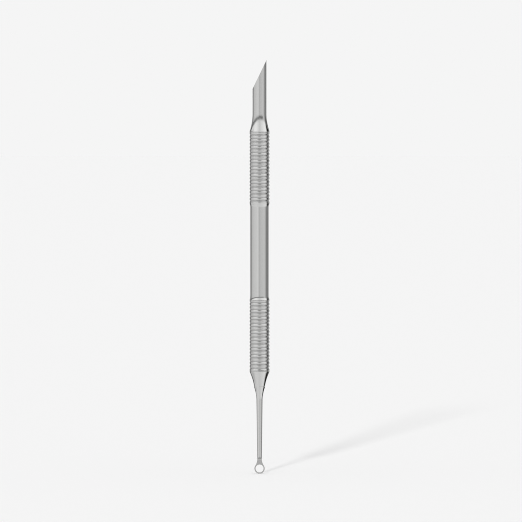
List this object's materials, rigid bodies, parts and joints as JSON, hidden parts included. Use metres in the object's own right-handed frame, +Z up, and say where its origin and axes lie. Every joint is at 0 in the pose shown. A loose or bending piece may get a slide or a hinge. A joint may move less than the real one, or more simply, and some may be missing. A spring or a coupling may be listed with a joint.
{
  "type": "cuticle pusher",
  "caption": "Double-ended steel cuticle pusher with a round ribbed handle, a slanted hollow-ground blade on one end and a thin stem with a small ring on the other.",
  "frame": {"origin": "on the tool's axis, at the bottom of the ring", "axes": "+Z up along the tool from the ring to the blade's point, -Y to the front, which is the blade's round side, and +X to the side of the point"},
  "size_m": [0.0066, 0.0064, 0.135],
  "materials": {
    "handle_steel": "satin stainless steel, turned round the axis",
    "blade_steel": "satin stainless steel, ground lengthwise",
    "loop_steel": "satin stainless steel, ground lengthwise"
  },
  "bodies": {
    "root": {"handle_tube": "handle_steel", "blade_tip": "blade_steel", "loop_tip": "loop_steel"}
  },
  "joints": []
}
